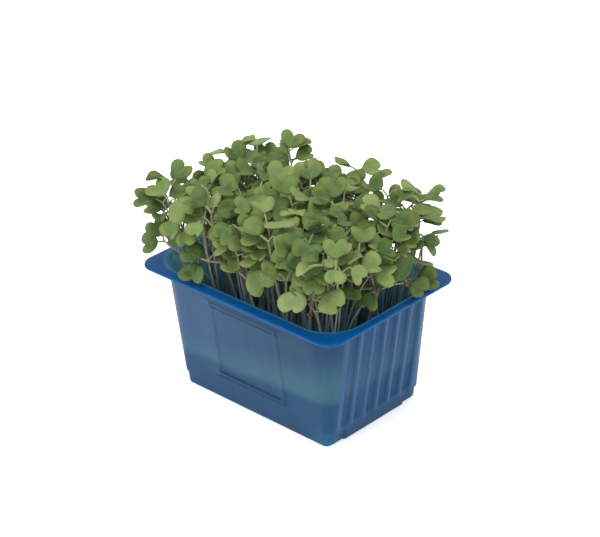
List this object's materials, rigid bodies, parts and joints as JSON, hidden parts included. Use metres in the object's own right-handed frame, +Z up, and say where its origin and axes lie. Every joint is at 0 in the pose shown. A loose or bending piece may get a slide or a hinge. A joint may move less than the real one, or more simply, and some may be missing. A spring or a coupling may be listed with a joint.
{
  "type": "potted broccoli cress",
  "caption": "Small flanged plastic tub with fluted short sides, holding a growing pad and a dense stand of broccoli cress seedlings with heart-shaped seed leaves.",
  "frame": {"origin": "middle of the tub's underside, on the plane that it stands on", "axes": "+Z up, +X along the tub's length towards a fluted short side, +Y across its width; the long side seen in the picture faces -Y and the short side seen faces +X"},
  "size_m": [0.1034, 0.0737, 0.0874],
  "materials": {
    "tub": "smooth semi-gloss",
    "growing_pad": "damp coarse fibre",
    "seedlings": "soft satin leaf"
  },
  "bodies": {
    "root": {"cress_arching_right": "seedlings", "cress_clump_01": "seedlings", "cress_clump_02": "seedlings", "cress_clump_03": "seedlings", "cress_clump_04": "seedlings", "cress_clump_05": "seedlings", "cress_clump_06": "seedlings", "cress_clump_07": "seedlings", "cress_clump_08": "seedlings", "cress_clump_09": "seedlings", "cress_clump_10": "seedlings", "cress_clump_11": "seedlings", "cress_clump_12": "seedlings", "cress_clump_13": "seedlings", "cress_clump_14": "seedlings", "cress_clump_15": "seedlings", "cress_clump_16": "seedlings", "cress_clump_17": "seedlings", "cress_clump_18": "seedlings", "cress_clump_19": "seedlings", "cress_clump_20": "seedlings", "cress_clump_21": "seedlings", "cress_clump_22": "seedlings", "cress_clump_23": "seedlings", "cress_clump_24": "seedlings", "cress_clump_25": "seedlings", "cress_clump_26": "seedlings", "cress_clump_27": "seedlings", "cress_clump_28": "seedlings", "cress_clump_29": "seedlings", "cress_clump_30": "seedlings", "cress_clump_31": "seedlings", "cress_clump_32": "seedlings", "cress_clump_33": "seedlings", "cress_clump_34": "seedlings", "cress_clump_35": "seedlings", "cress_clump_36": "seedlings", "cress_clump_37": "seedlings", "cress_clump_38": "seedlings", "cress_clump_39": "seedlings", "cress_clump_40": "seedlings", "cress_clump_41": "seedlings", "cress_clump_42": "seedlings", "cress_clump_43": "seedlings", "cress_clump_44": "seedlings", "cress_clump_45": "seedlings", "cress_clump_46": "seedlings", "cress_clump_47": "seedlings", "cress_clump_48": "seedlings", "cress_drooping_front": "seedlings", "cress_leaning_left": "seedlings", "cress_left_tip": "seedlings", "cress_peak": "seedlings", "growing_pad": "growing_pad", "tub": "tub"}
  },
  "joints": []
}
